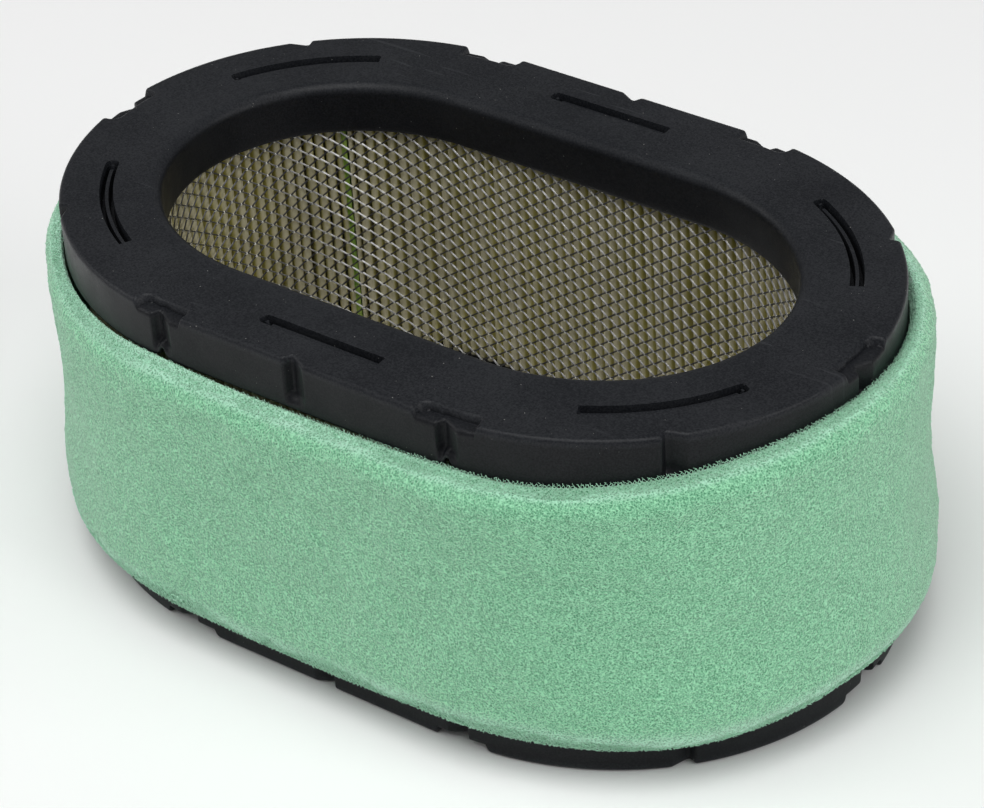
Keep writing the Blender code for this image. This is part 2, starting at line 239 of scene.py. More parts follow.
# The torn edges: a diamond lattice of struts whose joints are moved about.
TOP_FRINGE = {"inner": 0.0005, "width": 0.0032, "rises": TOP_FRINGE_RISE, "cell": 0.00092, "radius": 0.00006}
FOOT_FRINGE = {"inner": 0.0034, "width": 0.003, "rises": FOOT_FRINGE_RISE, "cell": 0.001, "radius": 0.00009}
FRINGE_SINK = 0.0006
FRINGE_TAPER = 0.6
FRINGE_FADE = (0.5, 1.1)
JOINT_SHIFT = 0.42
DIAMOND_CELL = np.array([(0, 0, 0), (0, 2, 2), (2, 0, 2), (2, 2, 0)], float) / 4
DIAMOND_BONDS = np.array([(1, 1, 1), (1, -1, -1), (-1, 1, -1), (-1, -1, 1)], float) / 4
HASH_FACTORS = (73856093, 19349663, 83492791)
HASH_WAVES = (12.9898, 78.233, 37.719)
STRUT_SIDES = 3
STRUT_FACES = ((0, 1, 4), (1, 2, 5), (2, 0, 3), (0, 4, 3), (1, 5, 4), (2, 3, 5), (0, 2, 1), (3, 4, 5))

FIBRE_COUNT = 11500
FIBRE_FIRST_ROW = 12
FIBRE_REACH = (0.00018, 0.00036)
FIBRE_PEAK = (0.00006, 0.00018)
FIBRE_SWAY = 0.0001
FIBRE_SINK = 0.0001
FIBRE_RADII = (0.000055, 0.000045)

FLOOR_HALF = 6.0
FLOOR_LEVEL = -0.0002
LIGHT_TARGET = (0.0, 0.0, 0.04)
LIGHTS = (
    ("overhead_box", (0.15, -0.45, 1.5), 1.2, 16.0),
    ("left_box", (-1.3, -0.6, 0.8), 0.9, 4.9),
    ("right_box", (1.4, 0.1, 0.8), 0.9, 6.8),
)
SKY_STRENGTH = 0.25

rng = np.random.default_rng(7)


# Geometry along the rim


def rim_table():
    """Running length, place and outward normal at samples once around the rim."""
    angles = np.linspace(-pi / 2, pi / 2, END_SAMPLES)
    end = np.stack([STRAIGHT_HALF + END_REACH * np.cos(angles), RIM_HALF_WIDTH * np.sin(angles)], 1)
    end_normals = np.stack([RIM_HALF_WIDTH * np.cos(angles), END_REACH * np.sin(angles)], 1)
    end_normals /= np.linalg.norm(end_normals, axis=1)[:, None]
    run = np.linspace(STRAIGHT_HALF, -STRAIGHT_HALF, STRAIGHT_SAMPLES)[1:-1]
    back = np.stack([run, np.full_like(run, RIM_HALF_WIDTH)], 1)
    back_normals = np.tile([0.0, 1.0], (len(run), 1))
    places = np.concatenate([end, back, -end, -back, end[:1]])
    normals = np.concatenate([end_normals, back_normals, -end_normals, -back_normals, end_normals[:1]])
    steps = np.linalg.norm(np.diff(places, axis=0), axis=1)
    return np.concatenate([[0.0], np.cumsum(steps)]), places, normals


RIM_LENGTHS, RIM_PLACES, RIM_NORMALS = rim_table()
RIM_TOTAL = RIM_LENGTHS[-1]


def on_rim(lengths):
    """Places and outward normals at these running lengths."""
    wanted = np.mod(lengths, RIM_TOTAL)
    place = np.stack([np.interp(wanted, RIM_LENGTHS, RIM_PLACES[:, k]) for k in (0, 1)], -1)
    normal = np.stack([np.interp(wanted, RIM_LENGTHS, RIM_NORMALS[:, k]) for k in (0, 1)], -1)
    return place, normal / np.linalg.norm(normal, axis=-1, keepdims=True)


def rim_points(lengths, insets, heights):
    """Points in space from running lengths, insets and heights, which broadcast together."""
    lengths, insets, heights = np.broadcast_arrays(lengths, insets, heights)
    place, normal = on_rim(lengths)
    flat = place - insets[..., None] * normal
    return np.concatenate([flat, heights[..., None]], -1)


def length_at(place):
    """The running length of the rim's point nearest to this place."""
    away = np.linalg.norm(RIM_PLACES[:-1] - np.array(place), axis=1)
    return RIM_LENGTHS[int(np.argmin(away))]


def length_at_angle(degrees):
    """The running length at this angle of the right-hand half ellipse."""
    angle = radians(degrees)
    return length_at((STRAIGHT_HALF + END_REACH * cos(angle), RIM_HALF_WIDTH * sin(angle)))


def both_halves(places):
    """Running lengths of these places, and then those half a turn further round."""
    return [length_at(place) + turn * RIM_TOTAL / 2 for turn in (0, 1) for place in places]


def signed_gap(lengths, centre):
    """How far past the centre each running length lies, the short way round."""
    return np.mod(lengths - centre + RIM_TOTAL / 2, RIM_TOTAL) - RIM_TOTAL / 2


def inset_lengths(inset):
    """The inset oval's own running length at each sample of the rim."""
    points = RIM_PLACES - inset * RIM_NORMALS
    return np.concatenate([[0.0], np.cumsum(np.linalg.norm(np.diff(points, axis=0), axis=1))])


def inset_path(inset):
    """Turns shares of the inset oval's own length into running lengths of the rim."""
    own = inset_lengths(inset)
    return lambda shares: np.interp(np.mod(shares, 1.0) * own[-1], own, RIM_LENGTHS)


def around(pairs, lengths):
    """A smooth value around the rim through pairs of share and millimetres, in metres."""
    fine = np.arange(AROUND_SAMPLES) / AROUND_SAMPLES
    shares, values = np.array(pairs).T
    level = np.interp(fine, shares, values, period=1.0)
    window = np.ones(AROUND_WINDOW) / AROUND_WINDOW
    side = AROUND_WINDOW // 2
    for _ in range(2):
        level = np.convolve(np.concatenate([level[-side:], level, level[:side]]), window, "valid")
    return np.interp(np.mod(lengths / RIM_TOTAL, 1.0), fine, level, period=1.0) * MM


def ease(low, high, value):
    """0 below low and 1 above high, with a soft turn between them."""
    share = np.clip((value - low) / (high - low), 0.0, 1.0)
    return share * share * (3 - 2 * share)


def quarter_round(share):
    """How far a quarter circle has dropped at this share of its width, from 0 to 1."""
    return 1 - np.sqrt(1 - np.clip(share, 0.0, 1.0) ** 2)


def arc(centre, radius, first, last, steps):
    """Points of a circular arc in a section, by angles in degrees."""
    angles = np.radians(np.linspace(first, last, steps + 1))
    return [(centre[0] + radius * cos(a), centre[1] + radius * sin(a)) for a in angles]


# Meshes from arrays


def mesh_object(name, points, faces, finish, smooth_angle=None):
    """A linked object of this finish from arrays of points and of faces that all have as many corners."""
    points = np.asarray(points, np.float32)
    faces = np.asarray(faces, np.int32)
    corners = faces.shape[1]
    mesh = bpy.data.meshes.new(name)
    mesh.vertices.add(len(points))
    mesh.vertices.foreach_set("co", points.ravel())
    mesh.loops.add(faces.size)
    mesh.loops.foreach_set("vertex_index", faces.ravel())
    mesh.polygons.add(len(faces))
    mesh.polygons.foreach_set("loop_start", np.arange(len(faces), dtype=np.int32) * corners)
    mesh.update(calc_edges=True)
    mesh.validate()
    mesh.materials.append(finish)
    if smooth_angle is not None:
        mesh.shade_smooth()
        mesh.set_sharp_from_angle(angle=radians(smooth_angle))
    return linked(name, mesh)


def linked(name, data):
    """An object in the scene, from its mesh, light or camera."""
    made = bpy.data.objects.new(name, data)
    bpy.context.scene.collection.objects.link(made)
    return made


def mark_points(made, name, values):
    """A named value on each point of a mesh, for its material to read."""
    attribute = made.data.attributes.new(name, "FLOAT", "POINT")
    attribute.data.foreach_set("value", np.asarray(values, np.float32).ravel())


def loop_faces(columns, rows):
    """Faces of a grid that closes on itself both ways, with columns around and rows along the section."""
    column = np.arange(columns)[:, None]
    row = np.arange(rows)[None, :]
    beside = (column + 1) % columns
    above = (row + 1) % rows
    corners = [column * rows + row, beside * rows + row, beside * rows + above, column * rows + above]
    return np.stack([corner.ravel() for corner in corners], 1)


def tube_walls(rows, loop):
    """Faces between closed loops of points, which follow row by row."""
    column = np.arange(loop)
    beside = (column + 1) % loop
    low = np.arange(rows - 1)[:, None] * loop
    high = low + loop
    return np.stack([low + column, low + beside, high + beside, high + column], -1).reshape(-1, 4)


def repeated(faces, count, size):
    """The triangles of one small part, for this many such parts of so many points each."""
    return (np.array(faces)[None] + (np.arange(count) * size)[:, None, None]).reshape(-1, 3)


def strut_mesh(name, finish, starts, ends, start_radius, end_radius):
    """Straight struts, each a closed three-sided prism."""
    along = ends - starts
    along /= np.maximum(np.linalg.norm(along, axis=1, keepdims=True), 1e-9)
    helper = np.where(np.abs(along[:, 2:3]) > 0.9, [[1.0, 0.0, 0.0]], [[0.0, 0.0, 1.0]])
    across = np.cross(along, helper)
    across /= np.linalg.norm(across, axis=1, keepdims=True)
    up = np.cross(along, across)
    corners = 2 * pi * np.arange(STRUT_SIDES) / STRUT_SIDES
    turn = rng.uniform(0, 2 * pi, len(starts))[:, None] + corners
    ring = np.cos(turn)[..., None] * across[:, None] + np.sin(turn)[..., None] * up[:, None]
    rings = [starts[:, None] + ring * start_radius, ends[:, None] + ring * end_radius]
    points = np.concatenate(rings, 1).reshape(-1, 3)
    return mesh_object(name, points, repeated(STRUT_FACES, len(starts), 2 * STRUT_SIDES), finish)


# Materials


class Shader:
    """A Principled material under construction, with short calls for the nodes that this object needs."""

    def __init__(self, name, roughness, metallic=0.0):
        self.material = bpy.data.materials.new(name)
        self.material.use_nodes = True
        self.tree = self.material.node_tree
        self.surface = self.tree.nodes["Principled BSDF"]
        self.put(roughness, "Roughness")
        self.put(metallic, "Metallic")
        self.place = self.node("TexCoord").outputs["Object"]

    def feed(self, socket, value):
        """Gives a socket a value, or what another node puts out."""
        if isinstance(value, bpy.types.NodeSocket):
            self.tree.links.new(value, socket)
        else:
            socket.default_value = value

    def node(self, kind, **inputs):
        """A new node with these inputs."""
        made = self.tree.nodes.new("ShaderNode" + kind)
        for name, value in inputs.items():
            self.feed(made.inputs[name], value)
        return made

    def put(self, source, name):
        self.feed(self.surface.inputs[name], source)

    def stretched(self, scale, turn=(0.0, 0.0, 0.0)):
        """Object coordinates, turned and then scaled."""
        return self.node("Mapping", Vector=self.place, Scale=scale, Rotation=turn).outputs["Vector"]

    def noise(self, size, detail=2.0, rough=0.5, place=None, output="Fac"):
        """Soft noise whose features are about this size."""
        place = place or self.place
        node = self.node("TexNoise", Vector=place, Scale=1.0 / size, Detail=detail, Roughness=rough)
        return node.outputs[output]

    def cells(self, size, place=None):
        """Distance from the middle of a cell of about this size."""
        return self.node("TexVoronoi", Vector=place or self.place, Scale=1.0 / size).outputs["Distance"]

    def math(self, operation, first, second=0.5):
        """A sum on two values; one that needs a single value leaves the second alone."""
        node = self.node("Math")
        node.operation = operation
        self.feed(node.inputs[0], first)
        self.feed(node.inputs[1], second)
        return node.outputs[0]

    def from_middle(self):
        """The distance above or below the element's middle plane."""
        height = self.node("SeparateXYZ", Vector=self.place).outputs["Z"]
        return self.math("ABSOLUTE", self.math("SUBTRACT", height, HEIGHT / 2))

    def remap(self, value, low, high, to_low=0.0, to_high=1.0):
        """The value's range low to high carried onto another range, with soft turns."""
        node = self.node("MapRange")
        node.interpolation_type = "SMOOTHSTEP"
        for socket, given in zip(node.inputs, (value, low, high, to_low, to_high)):
            self.feed(socket, given)
        return node.outputs["Result"]

    def mix(self, share, first, second):
        """Two colours mixed; each is a colour or a socket."""
        node = self.node("Mix")
        node.data_type = "RGBA"
        for name, value in (("Factor_Float", share), ("A_Color", first), ("B_Color", second)):
            socket = next(s for s in node.inputs if s.identifier == name)
            self.feed(socket, (*value, 1.0) if isinstance(value, tuple) else value)
        return next(s for s in node.outputs if s.identifier == "Result_Color")

    def bump(self, height, distance, below=None):
        """A bump of this real height, over another bump if one is given."""
        node = self.node("Bump", Height=height, Distance=distance)
        if below is not None:
            self.feed(node.inputs["Normal"], below)
        return node.outputs["Normal"]

    def attribute(self, name):
        node = self.node("Attribute")
        node.attribute_name = name
        return node.outputs["Fac"]


def cap_material():
    """Cast polyurethane: matte charcoal with a fine skin, pale dust specks and a few faint scratches, with
    painted shade that darkens it more than about 2 mm below its seal faces.
    """
    s = Shader("cast_polyurethane", 0.4)
    s.put(0.15, "Specular IOR Level")
    cloud = s.math("MULTIPLY", s.noise(0.018, 3.0), 0.3)
    cloud = s.math("ADD", cloud, s.math("MULTIPLY", s.noise(0.0004, 2.0), 0.7))
    colour = s.mix(s.remap(cloud, 0.32, 0.68), (0.0078, 0.0088, 0.0112), (0.0222, 0.0238, 0.0272))
    pick = s.remap(s.noise(0.009, 0.0), 0.38, 0.48)
    specks = [s.math("LESS_THAN", s.cells(size), 0.036) for size in (0.0034, 0.0021)]
    speck = s.math("MULTIPLY", s.math("MAXIMUM", *specks), pick)
    line_place = s.stretched((1.0, 14.0, 1.0), (0.0, 0.0, radians(24)))
    line = s.remap(s.noise(0.02, 1.0, place=line_place), 0.7, 0.715)
    fade = s.remap(s.noise(0.03, 0.0), 0.5, 0.62)
    scratch = s.math("MULTIPLY", line, fade)
    colour = s.mix(s.math("MULTIPLY", scratch, 0.3), colour, (0.05, 0.053, 0.058))
    colour = s.mix(speck, colour, (0.2, 0.2, 0.19))
    # Painted shade: the walls, slots and opening's collar, everything more than about 2.4 mm below a seal
    # face, are mixed towards black.
    painted_wall_shade = s.remap(s.from_middle(), HEIGHT / 2 - 0.0024, HEIGHT / 2 - 0.001, 0.44, 0.0)
    s.put(s.mix(painted_wall_shade, colour, (0.001, 0.001, 0.0012)), "Base Color")
    s.put(s.remap(s.noise(0.006, 4.0), 0.3, 0.7, 0.35, 0.44), "Roughness")
    skin = s.bump(s.noise(0.00045, 3.0, 0.7), 0.00003)
    s.put(s.bump(s.noise(0.007, 2.0), 0.00008, below=skin), "Normal")
    return s.material


def paper_material():
    """Resin-treated filter paper: grey beige on the fold tips, with painted shade that turns it olive brown
    on the flanks inside the pleats and dark at its ends by the caps.
    """
    s = Shader("filter_paper", 0.85)
    s.put(0.15, "Sheen Weight")
    depth = s.attribute("fold_depth")
    # Painted shade: the paper goes almost black from just outside the caps' feet to its ends.
    painted_end_shade = s.remap(s.from_middle(), CAP_FOOT - HEIGHT / 2 - 0.0007, CAP_FOOT - HEIGHT / 2 - 0.0002)
    fibre = s.noise(0.0006, 4.0, 0.7, place=s.stretched((1.0, 1.0, 0.25)))
    tip = s.mix(fibre, (0.57, 0.52, 0.33), (0.76, 0.71, 0.5))
    # Painted shade: the paper's flanks, between its fold tips, take this darker olive brown colour.
    shaded_flank = s.mix(fibre, (0.4, 0.36, 0.07), (0.57, 0.52, 0.15))
    stain = s.remap(s.noise(0.012, 3.0), 0.35, 0.75)
    painted_flank_shade = s.math("MULTIPLY", s.remap(depth, 0.03, 0.064), s.remap(depth, 0.86, 0.985, 1.0, 0.0))
    colour = s.mix(painted_flank_shade, tip, shaded_flank)
    colour = s.mix(s.math("MULTIPLY", stain, 0.25), colour, (0.27, 0.24, 0.09))
    colour = s.mix(painted_end_shade, colour, (0.012, 0.013, 0.012))
    s.put(colour, "Base Color")
    s.put(s.bump(fibre, 0.00006), "Normal")
    return s.material


def seam_material():
    """The glued seam of the paper strip, olive green and a little shiny."""
    s = Shader("seam_glue", 0.45)
    grain = s.noise(0.0015, 4.0, 0.6, place=s.stretched((1.0, 1.0, 0.2)))
    s.put(s.mix(s.remap(grain, 0.35, 0.65), (0.15, 0.29, 0.02), (0.33, 0.47, 0.08)), "Base Color")
    s.put(s.remap(grain, 0.3, 0.7, 0.35, 0.6), "Roughness")
    s.put(s.bump(grain, 0.00008), "Normal")
    return s.material


def screen_material():
    """Zinc-coated steel, with painted highlights on the strands' upper edges and bonds and painted shade,
    dark grey, on their undersides.
    """
    s = Shader("zinc_screen", 0.34, 1.0)
    dull = s.remap(s.noise(0.004, 3.0, 0.6), 0.35, 0.75)
    bright = s.mix(dull, (0.95, 0.95, 0.93), (0.66, 0.66, 0.65))
    # Painted highlights on the strands' upper edges and bonds, painted shade on their undersides.
    s.put(s.mix(s.attribute("painted_strand_light"), (0.05, 0.05, 0.055), bright), "Base Color")
    s.put(s.remap(dull, 0.0, 1.0, 0.34, 0.46), "Roughness")
    s.put(s.bump(s.noise(0.0004, 2.0), 0.00002), "Normal")
    return s.material


def foam_pores(s):
    """How much of a strut lies at each place, from 0 in a pore to 1 on a strut: fine, and open and coarse."""
    wobble = s.node("VectorMath")
    wobble.operation = "MULTIPLY_ADD"
    wander = s.noise(1 / 1100, output="Color")
    for socket, value in zip(wobble.inputs, (wander, (0.0003, 0.0003, 0.0003), s.place)):
        s.feed(socket, value)
    large, small = [s.cells(size, wobble.outputs["Vector"]) for size in (0.00048, 0.00036)]
    halves = [s.math("MULTIPLY", s.remap(cell, 0.28, 0.66), 0.5) for cell in (large, small)]
    return s.math("ADD", *halves), s.remap(large, 0.22, 0.6)


def foam_material():
    """Reticulated polyurethane foam: mint struts around darker green pores, wide open where it is cut and
    there painted lighter, as painted light shining through the thin foam.
    """
    s = Shader("mint_foam", 0.95)
    s.put(0.2, "Specular IOR Level")
    s.put(0.5, "Sheen Weight")
    s.put(0.5, "Sheen Roughness")
    fine, coarse = foam_pores(s)
    shade = s.noise(0.03, 3.0)
    strut = s.mix(shade, (0.335, 0.75, 0.46), (0.375, 0.795, 0.5))
    pore = s.mix(shade, (0.066, 0.305, 0.152), (0.08, 0.34, 0.172))
    closed = s.mix(fine, pore, strut)
    # Painted light: the cut faces at the top and foot are much paler, for light shining through the thin foam
    # there.
    opened_and_glowing = s.mix(coarse, (0.165, 0.45, 0.26), (0.5, 0.88, 0.66))
    s.put(s.mix(s.attribute("cut_face_and_glow"), closed, opened_and_glowing), "Base Color")
    s.put(s.bump(fine, 0.00022), "Normal")
    return s.material


def strut_material():
    """The same foam where single struts stand free, painted paler than the sleeve as painted light shining
    through the thin struts.
    """
    s = Shader("mint_foam_struts", 0.8)
    s.put(0.3, "Specular IOR Level")
    # Painted light: paler than the sleeve's own struts.
    s.put(s.mix(s.noise(0.0012, 2.0), (0.38, 0.72, 0.5), (0.56, 0.86, 0.68)), "Base Color")
    return s.material


def floor_material():
    """Plain pale studio floor with the faintest mottle."""
    s = Shader("studio_floor", 0.9)
    s.put(0.1, "Specular IOR Level")
    s.put(s.mix(s.noise(0.4, 2.0), (0.96, 0.96, 0.96), (0.975, 0.975, 0.975)), "Base Color")
    return s.material


# End caps


def slot_list():
    """Each slot as the running lengths of its two ends, the end with the post first."""
    low, high = [length_at_angle(angle) for angle in CORNER_SLOT_ANGLES]
    over_x_axis = 2 * length_at_angle(0.0)
    half_turn = RIM_TOTAL / 2
    front = -STRAIGHT_HALF
    back = front + half_turn
    return [
        (high, low),
        (over_x_axis - low, over_x_axis - high),
        (over_x_axis - low + half_turn, over_x_axis - high + half_turn),
        (low + half_turn, high + half_turn),
        (front - STRAIGHT_SLOT_HALF, front + STRAIGHT_SLOT_HALF),
        (back + STRAIGHT_SLOT_HALF, back - STRAIGHT_SLOT_HALF),
    ]


def slot_centre(lengths):
    """The inset of the slots' centre line: one value on the straights and another around the ends."""
    centre = np.full_like(lengths, CORNER_SLOT_INSET)
    for middle in (-STRAIGHT_HALF, -STRAIGHT_HALF + RIM_TOTAL / 2):
        share = 1 - ease(*SLOT_SHIFT, np.abs(signed_gap(lengths, middle)))
        centre = centre + share * (STRAIGHT_SLOT_INSET - CORNER_SLOT_INSET)
    return centre


def slot_drop(lengths, across):
    """How far the seal face drops in its slots. across is the distance from the slots' centre line."""
    drop = np.zeros(np.broadcast(lengths, across).shape)
    rib = 1 - ease(RIB_HALF_WIDTH - RIB_WALL, RIB_HALF_WIDTH + RIB_WALL, np.abs(across))
    for post_end, far_end in slot_list():
        half = abs(far_end - post_end) / 2
        way = copysign(1.0, far_end - post_end)
        gap = signed_gap(lengths, (post_end + far_end) / 2)
        inside = 1 - ease(half - SLOT_END_WALL, half, np.abs(gap))
        from_post = gap * way + half
        into_round = np.clip((POST_END_ROUND - from_post) / POST_END_ROUND, 0.0, 1.0)
        half_width = SLOT_HALF_WIDTH * np.sqrt(1 - into_round ** 2)
        side = 1 - ease(half_width - SLOT_WALL, half_width, np.abs(across))
        rib_here = rib * ease(RIB_FROM_POST_END, RIB_FROM_POST_END + RIB_END_WALL, from_post)
        away = np.hypot(from_post - POST_FROM_END, across)
        post = 1 - ease(POST_RADIUS - POST_WALL, POST_RADIUS + POST_WALL, away)
        rise = np.maximum(rib_here * (SLOT_DEPTH - RIB_BELOW_FACE), post * (SLOT_DEPTH - POST_BELOW_FACE))
        drop = np.maximum(drop, inside * side * (SLOT_DEPTH - rise))
    return drop


def recess_list():
    """Each recess as the running lengths of its square end and of its rounded end."""
    return list(zip(*[both_halves(ends) for ends in zip(*RECESS_SPANS)]))


def past_corner(along, across, radius):
    """Distance past a corner rounded to this radius, from the distances past its two sides."""
    along = along + radius
    across = across + radius
    beyond = np.hypot(np.maximum(along, 0.0), np.maximum(across, 0.0))
    return beyond + np.minimum(np.maximum(along, across), 0.0) - radius


def recess_share(lengths, insets):
    """1 on the floor of a recess and 0 outside it. Its wall is upright at its foot and rounds over above."""
    share = np.zeros(np.broadcast(lengths, insets).shape)
    for square, rounded in recess_list():
        gap = float(signed_gap(square, rounded))
        along = signed_gap(lengths, rounded) * copysign(1.0, gap)
        past_end = along - abs(gap)
        past_round = past_corner(-along, insets - RECESS_REACH, RECESS_ROUND)
        past_square = past_corner(past_end, insets - RECESS_REACH, RECESS_SQUARE_ROUND)
        past = np.maximum(np.maximum(past_round, past_square) / RECESS_WALL, past_end / RECESS_END_WALL)
        share = np.maximum(share, quarter_round(1 - past))
    return share


def groove_depth(lengths):
    """How far the grooves cut into the rim's wall: steeply on the left, as seen from outside."""
    depth = np.zeros_like(lengths)
    for centre in both_halves(RECESS_GROOVES + PLAIN_GROOVES):
        gap = signed_gap(lengths, centre)
        rise = ease(-GROOVE_LEFT, -GROOVE_LEFT + GROOVE_LEFT_WALL, gap)
        fall = np.clip((GROOVE_RIGHT - gap) / (GROOVE_RIGHT + GROOVE_RIGHT_EASE), 0.0, 1.0)
        depth = np.maximum(depth, GROOVE_DEPTH * rise * fall)
    return depth


def notch_rise(lengths):
    """How far the wall's lower edge is notched under the grooves that lie in a recess, between two lobes."""
    rise = np.zeros_like(lengths)
    left, right = NOTCH_SPAN
    for centre in both_halves(RECESS_GROOVES):
        gap = signed_gap(lengths, centre)
        away = np.maximum(np.maximum((left - gap) / NOTCH_LOBES[0], (gap - right) / NOTCH_LOBES[1]), 0.0)
        rise = np.maximum(rise, NOTCH_RISE * quarter_round(1 - away))
    return rise


def fine_zones():
    """Middle, reach and step of each zone where the caps' columns stand close together."""
    zones = []
    for square, rounded in recess_list():
        span = float(signed_gap(rounded, square))
        zones.append((square + span / 2, abs(span) / 2 + RECESS_ZONE[0], RECESS_ZONE[1]))
    for centre in both_halves(PLAIN_GROOVES):
        zones.append((centre, *GROOVE_ZONE))
    for post_end, far_end in slot_list():
        way = copysign(1.0, far_end - post_end)
        zones.append((post_end + way * POST_END_ZONE[0], *POST_END_ZONE[1:]))
        zones.append((far_end - way * FAR_END_ZONE[0], *FAR_END_ZONE[1:]))
    return zones


def cap_columns():
    """Running lengths for the caps' columns."""
    lengths = np.arange(0.0, RIM_TOTAL, COLUMN_STEP)
    fine = []
    for middle, reach, step in fine_zones():
        lengths = lengths[np.abs(signed_gap(lengths, middle)) > reach + ZONE_MARGIN]
        fine.append(middle + np.arange(-reach, reach + step / 2, step))
    merged = np.unique(np.round(np.mod(np.concatenate([lengths, *fine]), RIM_TOTAL), 6))
    keep = np.concatenate([[True], np.diff(merged) > COLUMN_GAP])
    return merged[keep]


def cap_rows():
    """The section's rows as (inset, height, distance from the slots' centre line or None)."""
    wall = arc((FOOT_ROUND, CAP_FOOT + FOOT_ROUND), FOOT_ROUND, 270, 180, 3)
    wall += [(0.0, z) for z in np.linspace(CAP_FOOT + 0.0012, HEIGHT - RIM_ROUND - 0.0004, WALL_ROWS)]
    wall += arc((RIM_ROUND, HEIGHT - RIM_ROUND), RIM_ROUND, 180, 90, 5)
    across = [-q for q in SLOT_ROWS] + [0.0, *SLOT_ROWS[::-1]]
    lip = arc((OPENING_INSET - LIP_ROUND, HEIGHT - LIP_ROUND), LIP_ROUND, 90, 0, 8)
    lip += [(OPENING_INSET, z) for z in np.linspace(HEIGHT - 0.0045, CAP_FOOT + 0.001, 4)]
    lip += [(OPENING_INSET - 0.0001, CAP_FOOT + 0.0003), (OPENING_INSET - 0.0004, CAP_FOOT)]
    channel = CAP_FOOT + POTTING_DEPTH
    under = [(CHANNEL_TO, CAP_FOOT), (CHANNEL_TO, channel), (CHANNEL_FROM, channel), (CHANNEL_FROM, CAP_FOOT)]
    outer = wall + [(a, HEIGHT) for a in EDGE_ROWS]
    inner = [(a, HEIGHT) for a in FACE_ROWS] + lip + under
    slot = [(None, HEIGHT, q) for q in across]
    return [(a, z, None) for a, z in outer] + slot + [(a, z, None) for a, z in inner]


def cap_points():
    """The upper cap's points, columns by rows."""
    lengths = cap_columns()
    rows = cap_rows()
    column = lengths[:, None]
    centre = slot_centre(lengths)
    inset = np.stack([centre + q if a is None else np.full_like(lengths, a) for a, _, q in rows], 1)
    height = np.broadcast_to(np.array([z for _, z, _ in rows]), inset.shape).copy()
    on_face = np.array([z == HEIGHT for _, z, _ in rows])
    on_wall = np.array([a is not None and a < RIM_ROUND + HAIR and z > CAP_FOOT + HAIR for a, z, _ in rows])
    drop = np.where(on_face, slot_drop(column, inset - centre[:, None]), 0.0)
    recess = RECESS_DEPTH * recess_share(column, np.maximum(inset, RECESS_EDGE))
    fade = ease(HEIGHT - RECESS_FADE[0], HEIGHT - RECESS_FADE[1], height)
    lowered = np.where(on_wall, fade, on_face)
    floor = CAP_FOOT + GROOVE_FLOOR
    ledge = ease(floor - GROOVE_LEDGE[0], floor + GROOVE_LEDGE[1], height)
    fading = np.clip(1 - (inset - RIM_ROUND) / GROOVE_FADE, 0, 1)
    reach = np.where(on_wall, ledge, on_face * fading)
    scoop = 1 - ease(CAP_FOOT, CAP_FOOT + NOTCH_FADE, height)
    scoop = np.where(inset < CHANNEL_FROM - HAIR, scoop, 0.0)
    height = height - drop - recess * lowered + scoop * notch_rise(lengths)[:, None]
    inset = inset + groove_depth(lengths)[:, None] * reach
    return rim_points(column, inset, height)


def make_caps(finish):
    """Both caps come from the same mould: the lower one is turned over about X."""
    points = cap_points()
    faces = loop_faces(points.shape[0], points.shape[1])
    over = Matrix.Translation((0, 0, HEIGHT)) @ Matrix.Rotation(pi, 4, "X")
    for name, node, turn in (
        ("upper_cap_casting", "upper_end_cap", Matrix.Identity(4)),
        ("lower_cap_casting", "lower_end_cap", over),
    ):
        cap = mesh_object(name, points.reshape(-1, 3), faces, finish, smooth_angle=40)
        cap.data.transform(turn)
        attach(cap, "element")
        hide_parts(node)


# Pleated paper


def pleat_line():
    """The folded strip's middle line as running lengths and insets, with rounded folds."""
    total = float(inset_lengths(PLEAT_INNER)[-1])
    start = SEAM_PLACE * total + SEAM_GAP
    pitch = (total - 2 * SEAM_GAP) / PLEAT_COUNT
    wander = rng.normal(0.0, PLEAT_WANDER, PLEAT_COUNT + 1) * pitch
    wander[[0, -1]] = 0.0
    reach = rng.uniform(0.0, PLEAT_REACH, PLEAT_COUNT + 1)
    inner = PLEAT_INNER - PAPER_THICKNESS / 2
    outer = PLEAT_OUTER + PAPER_THICKNESS / 2
    line = []

    def fold_over(place, depth, way, turns):
        """One rounded fold. way is 1 at the inside of the pack and -1 at its outside."""
        for turn in turns:
            drop = FOLD_RADIUS * cos(turn)
            line.append((place + FOLD_RADIUS * sin(turn), depth - way * FOLD_RADIUS + way * drop))

    for fold in range(PLEAT_COUNT):
        tip = start + fold * pitch + wander[fold]
        crest = start + (fold + 0.5) * pitch
        depth = inner - reach[fold]
        fold_over(tip, depth, 1, FOLD_TURNS)
        line.append(((tip + crest) / 2, (depth + outer) / 2))
        fold_over(crest, outer, -1, FOLD_TURNS)
        line.append(((crest + tip + pitch) / 2, (depth + outer) / 2))
    fold_over(start + PLEAT_COUNT * pitch, inner, 1, FOLD_TURNS[:3])
    along, insets = np.array(line).T
    return inset_path(PLEAT_INNER)(along / total), insets


